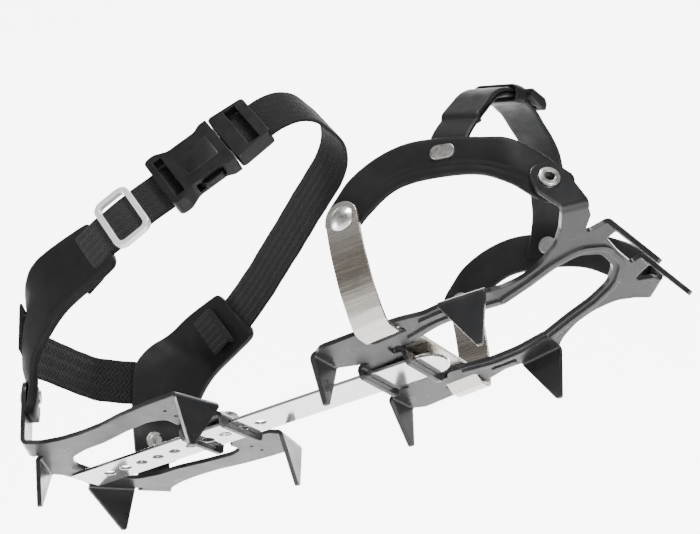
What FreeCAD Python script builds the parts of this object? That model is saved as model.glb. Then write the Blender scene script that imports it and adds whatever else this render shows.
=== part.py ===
import FreeCAD, Part
import math
import os

# A ten-point strap-on walking crampon for a right boot, built as its separate pieces.
# Millimetres. +Y points to the toe, +X to the outer (lateral) side of the foot, +Z up.
# The spike tips of the heel plate and the rear toe spikes stand on z = 0, and the
# origin is under the middle of the whole crampon.

Vector = FreeCAD.Vector
Rotation = FreeCAD.Rotation
Placement = FreeCAD.Placement

# --- Driving dimensions -------------------------------------------------------------
sheet = 2.0              # steel of both frame plates
bend_mid = 2.0           # mid-plane radius of every bend in the plates
spike_length = 21.5      # plate mid-plane to spike tip
rear_toe_spike = 19.9    # the rear toe spikes are shorter, because the toe plate rises
bridge_y = 43.5          # hinge line of the rocker, at the bar bridges of the toe plate
rocker = 3.14            # rise of the toe plate towards the toe, degrees
ramp_start = 46.5        # where the toe plate bends up again, ahead of the bridges
ramp_angle = 16.0        # rise of that front part, degrees

bar_width = 19.0
bar_thick = 1.5
bar_drop = 3.1           # bar mid-plane below the plate mid-plane
bar_rear = -184.0        # ends of the bar, from the bridge line
bar_front = 10.0
bar_split = -48.0        # where the bar flexes
hole_count = 10
hole_pitch = 9.6
first_hole = -168.7
hole_radius = 2.9
lock_hole = 7            # the hole that the size pin stands over

tab_half = 15.0          # half width of a bar bridge
tab_strip = 2.2          # steel left below the slot of a bridge
slot_gap = 0.3           # play of the bar in the slot, above and below

bail_thick = 1.5
bail_width = 14.5
bail_y = 1.2             # middle of the bail, from the bridge line
bail_slot_x = 32.0

strap_thick = 3.0        # moulded strap
webbing_thick = 1.6
webbing_width = 25.0     # ankle webbing
toe_webbing_width = 17.0

ankle_tilt = 30.0        # rise of the ankle strap towards the instep, degrees
ankle_level = 132.0      # middle of the ankle webbing, square to that slope
toe_strap_tilt = 25.0    # forward lean of the strap over the toes, degrees
toe_strap_level = 20.5

rivet_radius = 2.0
bail_grip = 5.8          # height of the layers that each kind of rivet holds together
heel_grip = 6.2

# Spike and post lines of the right half, in plate coordinates: Y from the bridge line,
# Z from the plate's mid-plane. Each is (start, end), outer side on the left.
TOE_REAR_SPIKE = (Vector(39.3, -29.0, 0), Vector(22.3, -29.4, 0))
TOE_SIDE_SPIKE = (Vector(34.9, 46.0, 0), Vector(38.1, 27.6, 0))
TOE_FRONT_POINT = (Vector(13.5, 96.6, 0), Vector(22.3, 96.6, 0))
TOE_POST = (Vector(39.1, 95.7, 0), Vector(46.1, 87.3, 0))
HEEL_REAR_SPIKE = (Vector(32.6, -182.3, 0), Vector(13.1, -194.0, 0))
HEEL_MID_SPIKE = (Vector(23.2, -87.6, 0), Vector(45.7, -92.5, 0))
HEEL_POST = (Vector(50.1, -174.2, 0), Vector(36.6, -183.2, 0))
TOE_BRIDGES = (-22.0, -0.8)      # places of the slotted tabs that carry the bar
HEEL_BRIDGES = (-114.5, -92.8)
front_point_bend = 75.6          # bend angles in degrees; a spike's is 90
toe_post_bend = -80.0
heel_post_bend = -90.0
TOE_POST_EYE = (10.0, 11.8)      # rivet places on the posts: along the base, up from the bend
HEEL_POST_EYE = (8.1, 22.2)

# Extender bar.
stud_y = -11.5                   # front stud, between the toe bridges
lock_y = first_hole + lock_hole * hole_pitch     # size pin, between the heel bridges
pin_radius = 2.5                 # of the stud and the size pin
pin_lift = 2.4                   # travel of the size pin
flex_gap = 0.3                   # slit between the two halves of the spring

# Toe harness, in toe plate coordinates.
bail_eye_x = 52.2                # rivet eyes of the bail
bail_eye_z = 43.5
OVAL_RIVET = (48.3, 52.2)        # along the foot, up
strap_mid_x = 49.7
STRAP_TOE_BEND = (strap_mid_x, 76.7, 15)
STRAP_TOE_END = (40.2, 88.0)

# Line of the toe strap, in its own plane: (x, up the plane), from a side strap to the top.
toe_strap_top = 110.5
TOE_STRAP_RUN = [(47.1, 58.0), (47.1, 78.0, 22), (31.0, 103.5, 26)]

# Heel harness: the line of each strap in plan, (x, along the foot).
HEEL_STRAP_PATH = [(34.2, -138.1), (51.05, -126.9, 11), (47.3, -64.0)]
REAR_WEBBING_PATH = [(46.3, -132.9), (21.0, -149.8, 18)]
REAR_WEBBING_RANGE = (68.0, 92.0)
STRAP_SLOT = (-31.5, -28.5)      # webbing slot in the heel strap, along the ankle slope

# Ankle strap: the line of its middle, (x, along the ankle slope).
SLOT_THREADING = [(45.9, -41.0), (45.9, -30.0, 1.3), (51.8, -30.0, 1.3)]
ANKLE_TURN = (51.3, -18.0, 15)
BUCKLE_REAR = Vector(46.5, 4.0, 0)       # the buckle lies on the run between these two
BUCKLE_FRONT = Vector(28.5, 66.0, 0)
buckle_start = 8.0                       # the buckle's own zero, along that run
INSTEP_CORNER = (23.1, 84.5, 26)

# Buckle sizes: along from the socket's rear edge, outward from the webbing's middle
# (outward is negative, because the strap runs forward and inward), across from its middle.
socket_end = 38.0
plug_start = 38.5
plug_end = 57.5
buckle_half = 17.0
arm_hinge = 38.0
buckle_low = 3.0         # inner face of the buckle
buckle_high = -5.5       # outer face

ring_place = -6.0        # middle of the adjuster ring, along the ankle slope
ring_length = 19.0
ring_width = 31.5
ring_wire = 2.6


# --- Helpers ------------------------------------------------------------------------
def unit(vector):
    return vector * (1.0 / vector.Length)


def rounded_edges(points, radius):
    """Edges of a closed outline; each corner is an arc. A point may carry its own radius."""
    corners = [Vector(p[0], p[1], 0) for p in points]
    radii = [p[2] if len(p) > 2 else radius for p in points]
    count = len(corners)
    stops = []
    for i, corner in enumerate(corners):
        back = corners[i - 1] - corner
        ahead = corners[(i + 1) % count] - corner
        half_turn = back.getAngle(ahead) / 2
        reach = min(radii[i] / math.tan(half_turn), 0.49 * min(back.Length, ahead.Length))
        if reach < 0.01:
            stops.append((corner, None, corner))
            continue
        arc_radius = reach * math.tan(half_turn)
        inward = unit(unit(back) + unit(ahead))
        middle = corner + inward * (arc_radius / math.sin(half_turn) - arc_radius)
        stops.append((corner + unit(back) * reach, middle, corner + unit(ahead) * reach))
    edges = []
    for i, (start, middle, end) in enumerate(stops):
        if middle is not None:
            edges.append(Part.Arc(start, middle, end).toShape())
        following = stops[(i + 1) % count][0]
        if (following - end).Length > 0.001:
            edges.append(Part.LineSegment(end, following).toShape())
    return edges


def plate(points, radius, low, high):
    """Flat piece in the XY plane between two heights."""
    face = Part.Face(Part.Wire(rounded_edges(points, radius)))
    face.translate(Vector(0, 0, low))
    return face.extrude(Vector(0, 0, high - low))


def flipped(points):
    """The same points on the other side of the foot."""
    return [(-p[0],) + tuple(p[1:]) for p in points]


def both_sides(half):
    """Closed outline from its right half, listed from the rear centre to the front centre."""
    return list(half) + flipped([p for p in reversed(half) if p[0] > 0.001])


def mirrored(shape):
    return shape.mirror(Vector(0, 0, 0), Vector(1, 0, 0))


def pair(shape):
    """The piece and its mirror image, as one group of separate solids."""
    return Part.makeCompound([shape, mirrored(shape)])


def block(x, y, z):
    """Box from three (low, high) ranges."""
    return Part.makeBox(x[1] - x[0], y[1] - y[0], z[1] - z[0], Vector(x[0], y[0], z[0]))


def edge_line(start, end):
    """Plate edge that belongs to a tab whose middle plane stands on start-end."""
    along = unit(end - start)
    outward = Vector(-along.y, along.x, 0)
    return start - outward * bend_mid, end - outward * bend_mid


def bent_tab(start, end, profile, angle, radius=1.0):
    """Bend and tab of a plate. The tab's middle plane stands on start-end, with the outer
    side on the left of that direction. Profile points are (along, out) from the end of the
    bend. A positive angle bends down, a negative one up."""
    first, last = edge_line(start, end)
    along = last - first
    length = along.Length
    down = 1 if angle > 0 else -1
    axis_point = Vector(0, 0, -down * bend_mid)
    section = Part.Face(Part.makePolygon([Vector(0, 0, -sheet / 2), Vector(length, 0, -sheet / 2),
                                          Vector(length, 0, sheet / 2), Vector(0, 0, sheet / 2),
                                          Vector(0, 0, -sheet / 2)]))
    bend = section.revolve(axis_point, Vector(-down, 0, 0), abs(angle))
    flat = plate(profile, radius, -sheet / 2, sheet / 2)
    flat.rotate(axis_point, Vector(-down, 0, 0), abs(angle))
    tab = bend.fuse(flat)
    heading = math.degrees(math.atan2(along.y, along.x))
    tab.Placement = Placement(first, Rotation(Vector(0, 0, 1), heading)).multiply(tab.Placement)
    return tab


def spike(start, end, tip, length, tip_width=2.2):
    """Triangular point hanging from the plate edge; tip is its place along the base."""
    base = (end - start).Length
    reach = length - bend_mid
    profile = [(0, 0, 0), (tip - tip_width / 2, reach, 0.8), (tip + tip_width / 2, reach, 0.8),
               (base, 0, 0)]
    return bent_tab(start, end, profile, 90.0)


def disc(radius, low, high):
    return Part.makeCylinder(radius, high - low, Vector(0, 0, low))


def dome(radius, height, low):
    """Low domed rivet head standing on the height low."""
    ball = (radius ** 2 + height ** 2) / (2 * height)
    sphere = Part.makeSphere(ball, Vector(0, 0, low + height - ball))
    return sphere.common(disc(radius, low, low + height))


def aim(shape, point, outward):
    """Turns a piece made along +Z so that it stands at the point and faces outward."""
    shape.Placement = Placement(point, Rotation(Vector(0, 0, 1), outward))
    return shape


def ribbon(points, radius, thick, low, high):
    """Band of even thickness along a path in the XY plane; the band stands along Z. The
    corners of the path are arcs, and a point may carry its own radius."""
    middle = [Vector(p[0], p[1], 0) for p in points]
    runs = [unit(b - a) for a, b in zip(middle, middle[1:])]
    left = []
    right = []
    for i, point in enumerate(middle):
        before = runs[max(i - 1, 0)]
        after = runs[min(i, len(runs) - 1)]
        across = unit(Vector(-before.y - after.y, before.x + after.x, 0))
        reach = across * (thick / 2 / across.dot(Vector(-after.y, after.x, 0)))
        if i in (0, len(middle) - 1):
            radii = (0, 0)
        else:
            bend = points[i][2] if len(points[i]) > 2 else radius
            inside = math.copysign(thick / 2, before.cross(after).z)
            radii = (bend - inside, bend + inside)
        left.append((point.x + reach.x, point.y + reach.y, radii[0]))
        right.append((point.x - reach.x, point.y - reach.y, radii[1]))
    return plate(left + right[::-1], 0, low, high)


def ramp(shape):
    """Bends a flat toe piece: what lies ahead of the ramp line turns up with the ramp."""
    shape.rotate(Vector(0, ramp_start, 0), Vector(1, 0, 0), ramp_angle)
    return shape


def to_heel(shape):
    """From heel plate coordinates (bridge line, plate mid-plane) to the whole crampon's."""
    shape.translate(Vector(0, bridge_y, spike_length))
    return shape


def to_toe(shape):
    """From toe plate coordinates to the whole crampon's: the toe plate rises by the rocker."""
    shape.rotate(Vector(0, 0, 0), Vector(1, 0, 0), rocker)
    return to_heel(shape)


def on_ankle(shape):
    """From ankle strap coordinates (x, along the slope, square to it) to the crampon's."""
    shape.rotate(Vector(0, 0, 0), Vector(1, 0, 0), ankle_tilt)
    return shape


def on_toe_strap(shape):
    """From toe strap coordinates (x, up the strap's plane, across it) to the crampon's."""
    shape.rotate(Vector(0, 0, 0), Vector(1, 0, 0), 90.0 - toe_strap_tilt)
    return to_toe(shape)


def stand(shape):
    """Stands a piece drawn in the XY plane upright across the foot: its Y becomes up."""
    shape.rotate(Vector(0, 0, 0), Vector(1, 0, 0), 90.0)
    return shape


def side_on(shape):
    """Turns a piece drawn in the XY plane to the side view: its X runs along the foot."""
    shape.rotate(Vector(0, 0, 0), Vector(1, 1, 1), 120.0)
    return shape


# --- Plates ---------------------------------------------------------------------------
def corner(point):
    """Sharp outline corner, where a bend joins the plate."""
    return (point.x, point.y, 0)


def post_seat(line, eye, angle):
    """Placement of a post's rivet: Z is the direction that the post's outer face looks."""
    first, last = edge_line(*line)
    heading = math.degrees(math.atan2(last.y - first.y, last.x - first.x))
    base = Placement(first, Rotation(Vector(0, 0, 1), heading))
    turn = Placement(Vector(0, 0, 0), Rotation(Vector(1, 0, 0), abs(angle)), Vector(0, 0, bend_mid))
    face = Placement(Vector(eye[0], eye[1], -sheet / 2), Rotation(Vector(1, 0, 0), 180.0))
    return base.multiply(turn).multiply(face)


def bridge(y, outward, bar_level):
    """Slotted tab that carries the bar; outward is +1 towards the toe, -1 towards the heel."""
    depth = tab_strip + slot_gap + bar_thick / 2 - bar_level - bend_mid
    width = 2 * tab_half
    profile = [(0, 0, 0), (1.0, depth, 2.2), (width - 1.0, depth, 2.2), (width, 0, 0)]
    start = Vector(-outward * tab_half, y, 0)
    end = Vector(outward * tab_half, y, 0)
    tab = bent_tab(start, end, profile, 90.0)
    half_slot = bar_thick / 2 + slot_gap
    inner = y - outward * (bend_mid + 0.2)
    outer = y + outward * sheet
    slot = block((-bar_width / 2 - 0.5, bar_width / 2 + 0.5), sorted((inner, outer)),
                 (bar_level - half_slot, bar_level + half_slot))
    return tab, slot


def toe_outline():
    rear_out, rear_in = [corner(p) for p in edge_line(*TOE_REAR_SPIKE)]
    side_front, side_rear = [corner(p) for p in edge_line(*TOE_SIDE_SPIKE)]
    post_front, post_rear = [corner(p) for p in edge_line(*TOE_POST)]
    point_in, point_out = [corner(p) for p in edge_line(*TOE_FRONT_POINT)]
    rear_edge = TOE_BRIDGES[0] + bend_mid
    return both_sides([
        (0, rear_edge, 0), (tab_half, rear_edge, 0), (15.3, -17.2, 0.8), (17.8, -17.2, 0.8),
        (18.2, -20.8, 1.5), rear_in, rear_out, (42.4, -23.0, 4), (41.4, -7.0, 30),
        (38.8, 11.0, 30), (35.6, 20.0, 6), side_rear, side_front, (29.0, 50.5, 5),
        (25.6, 58.0, 14), (26.0, 67.0, 14), (30.0, 76.0, 14), (37.5, 82.0, 8), post_rear,
        post_front, (33.0, 93.2, 3), (27.0, 87.8, 2.5), (24.0, 88.4, 2), point_out, point_in,
        (13.2, 91.2, 1.5), (0, 90.7, 0)])


def toe_opening():
    rear_edge = TOE_BRIDGES[1] - bend_mid
    return both_sides([
        (0, rear_edge, 0), (tab_half, rear_edge, 0), (15.2, -5.2, 0.8), (22.5, -4.6, 1.4),
        (22.8, -1.4, 1.4), (18.6, 1.0, 2), (20.0, 9.0, 14), (23.0, 20.0, 20), (22.6, 32.0, 20),
        (19.2, 45.0, 20), (18.0, 58.0, 20), (18.0, 69.0, 14), (15.5, 79.0, 8), (7.0, 85.3, 8),
        (0, 85.5, 0)])


def stiffening_bead(outline, near, far, height):
    """Pressed bead round an opening, standing out below the plate."""
    edge = Part.Wire(rounded_edges(outline, 3))
    ring = Part.Face(edge.makeOffset2D(far)).cut(Part.Face(edge.makeOffset2D(near)))
    ring.translate(Vector(0, 0, -sheet / 2 - height))
    return ring.extrude(Vector(0, 0, height + 0.2))


def toe_frame():
    """Toe plate: eight edges of spikes, posts and bridges bent out of one sheet."""
    half = sheet / 2
    flat = plate(toe_outline(), 3, -half, half)
    flat = flat.cut(plate(toe_opening(), 3, -sheet, sheet))
    slot = plate([(29.0, bail_y - 8), (35.0, bail_y - 8), (35.0, bail_y + 8), (29.0, bail_y + 8)],
                 1.8, -sheet, sheet)
    flat = flat.cut(slot).cut(mirrored(slot))
    bead = stiffening_bead(toe_opening(), 2.3, 4.7, 0.8)
    flat = flat.fuse(bead.common(block((-60, 60), (6.0, 90.0), (-5, 5))))
    rib = plate([(30.0, 15.5), (33.0, 15.5), (33.4, 27.0), (30.4, 27.0)], 1.4, -half - 0.8, 0)
    flat = flat.fuse(rib).fuse(mirrored(rib))

    rear = flat.common(block((-60, 60), (-60, ramp_start), (-5, 5)))
    front = flat.common(block((-60, 60), (ramp_start, 120), (-5, 5)))
    section = flat.common(block((-60, 60), (ramp_start - 0.1, ramp_start + 0.1), (-half, half)))
    point = bent_tab(*TOE_FRONT_POINT, [(0, 0, 0), (2.4, 23.5, 0.8), (4.6, 23.5, 0.8), (8.8, 0, 0)],
                     front_point_bend)
    post = bent_tab(*TOE_POST, [(0, 0, 0), (3.5, 18.3, 6), (16.5, 18.3, 6), (16.5, 8.0, 5),
                                (10.93, 0, 0)], toe_post_bend)
    seat = disc(rivet_radius + 0.95, -2 * sheet, sheet)
    seat.Placement = post_seat(TOE_POST, TOE_POST_EYE, toe_post_bend)
    post = post.cut(seat)
    front = ramp(front.fuse([point, post, mirrored(point), mirrored(post)]))

    spikes = [spike(*TOE_REAR_SPIKE, 5.9, rear_toe_spike), spike(*TOE_SIDE_SPIKE, 6.2, spike_length)]
    pieces = [front] + spikes + [mirrored(s) for s in spikes]
    for strip in section.Solids:
        box = strip.BoundBox
        bend = Part.makeCylinder(half, box.XLength, Vector(box.XMin, ramp_start, 0), Vector(1, 0, 0))
        pieces.append(bend)
    slots = []
    for y, outward in zip(TOE_BRIDGES, (-1, 1)):
        tab, slot = bridge(y, outward, -bar_drop - y * math.tan(math.radians(rocker)))
        pieces.append(tab)
        slots.append(slot)
    stud_hole = disc(pin_radius + 0.1, -sheet, sheet)
    stud_hole.translate(Vector(0, stud_y, 0))
    return to_toe(rear.fuse(pieces).cut(slots + [stud_hole]).removeSplitter())


def heel_outline():
    rear_out, rear_in = [corner(p) for p in edge_line(*HEEL_REAR_SPIKE)]
    post_front, post_rear = [corner(p) for p in edge_line(*HEEL_POST)]
    mid_in, mid_out = [corner(p) for p in edge_line(*HEEL_MID_SPIKE)]
    front_edge = HEEL_BRIDGES[1] - bend_mid
    return both_sides([
        (0, -190.0, 0), (8.0, -190.2, 6), rear_in, rear_out, (32.4, -177.6, 1), (34.6, -178.2, 1),
        post_rear, post_front, (44.6, -168.6, 6), (41.6, -160.0, 14), (40.5, -149.5, 25),
        (41.0, -137.0, 25), (43.6, -124.0, 30), (45.2, -108.0, 30), mid_out, mid_in,
        (19.4, -91.6, 1.5), (18.0, -97.0, 0.8), (15.3, -97.0, 0.8), (tab_half, front_edge, 0),
        (0, front_edge, 0)])


def heel_opening():
    front_edge = HEEL_BRIDGES[0] + bend_mid
    return both_sides([
        (0, -178.5, 0), (13.0, -177.8, 10), (22.5, -171.0, 10), (25.4, -160.0, 20),
        (25.6, -149.0, 25), (28.6, -134.0, 30), (30.4, -120.0, 8), (27.0, -112.6, 4),
        (18.4, -113.2, 1.5), (17.9, -110.2, 0.8), (15.2, -110.2, 0.8), (tab_half, front_edge, 0),
        (0, front_edge, 0)])


def heel_frame():
    """Heel plate with its four spikes, two posts and two bar bridges."""
    half = sheet / 2
    flat = plate(heel_outline(), 3, -half, half)
    flat = flat.cut(plate(heel_opening(), 3, -sheet, sheet))
    post = bent_tab(*HEEL_POST, [(0, 0, 0), (0.2, 29.5, 7.6), (16.0, 29.5, 7.6), (16.22, 0, 0)],
                    heel_post_bend)
    seat = disc(rivet_radius + 0.05, -2 * sheet, sheet)
    seat.Placement = post_seat(HEEL_POST, HEEL_POST_EYE, heel_post_bend)
    post = post.cut(seat)
    rear = spike(*HEEL_REAR_SPIKE, 5.4, spike_length)
    mid = spike(*HEEL_MID_SPIKE, 15.6, spike_length)
    pieces = []
    for piece in (post, rear, mid):
        pieces += [piece, mirrored(piece)]
    cuts = []
    for y, outward in zip(HEEL_BRIDGES, (-1, 1)):
        tab, slot = bridge(y, outward, -bar_drop)
        pieces.append(tab)
        cuts.append(slot)
    for x, y, radius in ((34.8, -106.6, 1.0), (27.1, -107.0, 1.0), (0, lock_y, pin_radius + 0.3)):
        hole = disc(radius, -sheet, sheet)
        hole.translate(Vector(x, y, 0))
        cuts += [hole, mirrored(hole)] if x else [hole]
    return to_heel(flat.fuse(pieces).cut(cuts).removeSplitter())


# --- Extender bar ----------------------------------------------------------------------
def extender_bar(low, high, rounded_end):
    """Half of the leaf spring that joins the plates, between two places along it."""
    half = bar_width / 2
    end_radius = half - 0.5 if rounded_end else 0.5
    outline = [(-half, low, 0.5), (half, low, 0.5), (half, high, end_radius), (-half, high, end_radius)]
    bar = plate(outline, 0.5, -bar_drop - bar_thick / 2, -bar_drop + bar_thick / 2)
    for i in range(hole_count):
        y = first_hole + i * hole_pitch
        if low < y < high:
            hole = disc(hole_radius, -bar_drop - bar_thick, -bar_drop + bar_thick)
            hole.translate(Vector(0, y, 0))
            bar = bar.cut(hole)
    return to_heel(bar)


def bar_stud():
    """Stud welded on the bar and headed over above the toe plate, so the bar stays in it."""
    plate_top = sheet / 2 + stud_y * math.tan(math.radians(rocker)) + 0.3
    shank = disc(pin_radius, -bar_drop + bar_thick / 2, plate_top + 0.2)
    stud = shank.fuse(dome(4.2, 1.2, plate_top))
    stud.translate(Vector(0, stud_y, 0))
    return to_heel(stud)


def size_pin():
    """Headed pin that drops into a hole of the bar; drawn lifted, ready to slide."""
    above_bar = -bar_drop + bar_thick / 2 + 0.3
    pin = disc(pin_radius, above_bar, sheet / 2 + pin_lift)
    head = disc(6.5, sheet / 2 + pin_lift, sheet / 2 + pin_lift + 1.4)
    edge = head.Edges[0]
    head = head.makeChamfer(0.4, [edge])
    pin = pin.fuse(head)
    pin.translate(Vector(0, lock_y, 0))
    return to_heel(pin)


# --- Toe harness -----------------------------------------------------------------------
def toe_bail():
    """Stainless band from side to side: under the plate's edge, up through the slots, across."""
    right = [(bail_eye_x, 52.0), (bail_eye_x, 30.0, 60), (49.8, 14.0, 40), (46.4, 4.0, 8),
             (43.4, -2.1, 4), (35.6, -2.6, 1.6), (29.2, 1.95, 1.6)]
    band = stand(ribbon(right + flipped(right[::-1]), 2, bail_thick, -bail_y - bail_width / 2,
                        -bail_y + bail_width / 2))
    low, high = bail_y - bail_width / 2, bail_y + bail_width / 2
    top = bail_eye_z + bail_width / 2
    shield = side_on(plate([(low, -10, 0), (high, -10, 0), (high, top, 7.2), (low, top, 7.2)],
                           0, -60, 60))
    eye = Part.makeCylinder(rivet_radius + 0.05, 120, Vector(-60, bail_y, bail_eye_z), Vector(1, 0, 0))
    return to_toe(band.common(shield).cut(eye))


def side_strap():
    """Moulded strap from the bail over the side of the foot to the toe post."""
    band = ribbon([(strap_mid_x, -9.0), STRAP_TOE_BEND, STRAP_TOE_END], 10, strap_thick, 5, 75)
    profile = side_on(plate([
        (-7.0, 35.5, 5), (-7.0, 50.0, 5), (7.0, 61.5, 14), (20.0, 64.8, 18), (34.0, 64.4, 20),
        (50.0, 58.8, 30), (64.0, 52.0, 20), (74.0, 47.0, 14), (84.0, 36.5, 20), (91.5, 26.0, 5),
        (87.5, 17.0, 5), (79.5, 17.4, 6), (70.0, 28.6, 20), (60.0, 37.8, 20), (47.0, 43.0, 30),
        (32.0, 46.8, 20), (22.0, 47.0, 14), (8.0, 38.5, 14), (-2.0, 34.8, 6)], 8, 30, 60))
    strap = band.common(profile)
    for y, z in ((bail_y, bail_eye_z), OVAL_RIVET):
        strap = strap.cut(Part.makeCylinder(rivet_radius + 0.05, 40, Vector(30, y, z), Vector(1, 0, 0)))
    eye = disc(rivet_radius + 0.95, -8, 4)
    eye.Placement = post_seat(TOE_POST, TOE_POST_EYE, toe_post_bend)
    return to_toe(strap.cut(ramp(eye)))


def dome_rivet(head_radius, grip):
    """Domed rivet along +Z, its head resting on Z = 0; the tail is spread behind the washer."""
    tail = disc(rivet_radius + 1.0, -grip - 0.9, -grip - 0.1)
    return dome(head_radius, 2.0, 0.05).fuse(disc(rivet_radius, -grip - 0.9, 0.1)).fuse(tail)


def back_washer(grip):
    """Washer under the rivet's tail."""
    return disc(4.6, -grip, -grip + 0.8).cut(disc(rivet_radius + 0.05, -grip - 1, -grip + 2))


def bail_seat():
    return Vector(bail_eye_x + bail_thick / 2, bail_y, bail_eye_z)


def bail_rivets():
    return pair(to_toe(aim(dome_rivet(5.4, bail_grip), bail_seat(), Vector(1, 0, 0))))


def bail_washers():
    return pair(to_toe(aim(back_washer(bail_grip), bail_seat(), Vector(1, 0, 0))))


def toe_post_eyelets():
    """Hollow eyelets that hold the side straps on the toe posts."""
    grip = sheet + strap_thick + 0.4
    flange = disc(4.0, 0.05, 0.8).fuse(disc(3.4, 0.7, 1.1))
    tube = disc(rivet_radius + 0.9, -grip - 0.6, 0.5)
    tail = disc(4.0, -grip - 0.8, -grip - 0.05)
    eyelet = flange.fuse(tube).fuse(tail).cut(disc(rivet_radius, -grip - 2, 3))
    eyelet.Placement = post_seat(TOE_POST, TOE_POST_EYE, toe_post_bend)
    return pair(to_toe(ramp(eyelet)))


def oval_rivets():
    """Flat oval rivets that hold the toe webbing on the side straps."""
    face_x = strap_mid_x + strap_thick / 2
    head = plate([(-5.2, -2.9), (5.2, -2.9), (5.2, 2.9), (-5.2, 2.9)], 2.85, 0.05, 1.2)
    head.rotate(Vector(0, 0, 0), Vector(0, 0, 1), -18.0)
    grip = strap_thick + webbing_thick + 0.5
    rivet = head.fuse(disc(rivet_radius, -grip, 0.5)).fuse(disc(4.0, -grip - 0.8, -grip))
    rivet = side_on(rivet)
    rivet.translate(Vector(face_x, OVAL_RIVET[0], OVAL_RIVET[1]))
    return pair(to_toe(rivet))


def toe_band(points, thick):
    low = -toe_strap_level - toe_webbing_width / 2
    return ribbon(points, 20, thick, low, low + toe_webbing_width)


def rivet_clearance(shape):
    """Cuts the oval rivet's hole in webbing that is still in toe strap coordinates."""
    placed = on_toe_strap(shape)
    hole = Part.makeCylinder(rivet_radius + 0.05, 40, Vector(30, OVAL_RIVET[0], OVAL_RIVET[1]),
                             Vector(1, 0, 0))
    return placed.cut(to_toe(hole.fuse(mirrored(hole))))


def toe_webbing_lateral():
    """Short anchor strap from the outer side strap to the toe buckle."""
    return rivet_clearance(toe_band(TOE_STRAP_RUN + [(10.5, toe_strap_top)], webbing_thick))


def toe_webbing_medial():
    """Long strap from the inner side strap over the toes to the toe buckle."""
    return rivet_clearance(toe_band(flipped(TOE_STRAP_RUN) + [(1.0, toe_strap_top)], webbing_thick))


def toe_webbing_tail():
    """Free end of the long strap, folded back over the anchor strap."""
    return on_toe_strap(toe_band([(13.1, 111.6), (32.3, 105.1, 28), (44.9, 85.0)], webbing_thick))


def toe_keeper():
    """Loop that holds the folded end down."""
    width = toe_webbing_width
    low, high = toe_strap_top - 2.8, toe_strap_top + 3.2
    level = -toe_strap_level
    outer = block((-4.0, 4.0), (low - 1.2, high + 1.2), (level - width / 2 - 1.8, level + width / 2 + 1.8))
    inner = block((-5.0, 5.0), (low, high), (level - width / 2 - 0.5, level + width / 2 + 0.5))
    keeper = outer.cut(inner)
    keeper.rotate(Vector(0, toe_strap_top, 0), Vector(0, 0, 1), -18.9)
    keeper.translate(Vector(17.0, -2.2, 0))
    return on_toe_strap(keeper)


def toe_buckle():
    """Ladder-lock buckle: it tilts on the anchor strap to let the long strap slip."""
    level = -toe_strap_level
    half = toe_webbing_width / 2 + 2.5
    body = plate([(-3.5, 0), (11.5, 0), (11.5, 3.2), (-1.0, 4.6), (-3.5, 3.0)], 0.8,
                 level - half, level + half)
    for x in (-0.6, 5.6):
        body = body.cut(block((x, x + 2.6), (-2, 8), (level - half + 2.4, level + half - 2.4)))
    body.translate(Vector(0, toe_strap_top + webbing_thick / 2 + 0.5, 0))
    return on_toe_strap(body)


# --- Heel harness ----------------------------------------------------------------------
def heel_strap():
    """Moulded strap that rises from the heel post and reaches forward to the ankle webbing."""
    band = ribbon(HEEL_STRAP_PATH, 10, strap_thick, 30, 125)
    profile = side_on(plate([
        (-139.5, 37.0, 5), (-139.5, 88.0, 20), (-132.5, 103.0, 20), (-116.0, 112.0, 20),
        (-92.0, 118.0, 4), (-74.5, 89.0, 4), (-88.0, 82.8, 20), (-103.0, 76.0, 20),
        (-113.5, 65.0, 20), (-121.0, 52.0, 20), (-124.0, 37.0, 5)], 8, 30, 60))
    strap = band.common(profile)
    slot = block((30, 60), STRAP_SLOT, (ankle_level - webbing_width / 2 - 0.7,
                                        ankle_level + webbing_width / 2 + 0.7))
    eye = disc(rivet_radius + 0.05, -8, 4)
    eye.Placement = post_seat(HEEL_POST, HEEL_POST_EYE, heel_post_bend)
    return strap.cut([on_ankle(slot), to_heel(eye)])


def heel_rivets():
    rivet = dome_rivet(5.6, heel_grip)
    rivet.Placement = post_seat(HEEL_POST, HEEL_POST_EYE, heel_post_bend)
    return pair(to_heel(rivet))


def heel_washers():
    washer = back_washer(heel_grip)
    washer.Placement = post_seat(HEEL_POST, HEEL_POST_EYE, heel_post_bend)
    return pair(to_heel(washer))


def heel_rear_webbing():
    """Ribbed webbing round the back of the heel, on the outside of both heel straps."""
    return ribbon(REAR_WEBBING_PATH + flipped(REAR_WEBBING_PATH[::-1]), 18, webbing_thick,
                  *REAR_WEBBING_RANGE)


# --- Ankle strap -----------------------------------------------------------------------
def ankle_band(points, thick):
    low = ankle_level - webbing_width / 2
    return on_ankle(ribbon(points, 20, thick, low, low + webbing_width))


def ankle_webbing_lateral():
    """Doubled webbing from the outer heel strap to the buckle's socket."""
    end = BUCKLE_REAR + unit(BUCKLE_FRONT - BUCKLE_REAR) * (buckle_start + 6.6)
    return ankle_band(SLOT_THREADING + [ANKLE_TURN, (BUCKLE_REAR.x, BUCKLE_REAR.y, 30), (end.x, end.y)],
                      webbing_thick)


def ankle_webbing_instep():
    """Webbing from the buckle's plug over the instep to the inner heel strap."""
    direction = unit(BUCKLE_FRONT - BUCKLE_REAR)
    start = BUCKLE_REAR + direction * (buckle_start + plug_end - 3.2)
    inner = [INSTEP_CORNER, (BUCKLE_REAR.x, BUCKLE_REAR.y, 60), ANKLE_TURN] + SLOT_THREADING[::-1]
    return ankle_band([(start.x, start.y), INSTEP_CORNER] + flipped(inner), webbing_thick)


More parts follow.
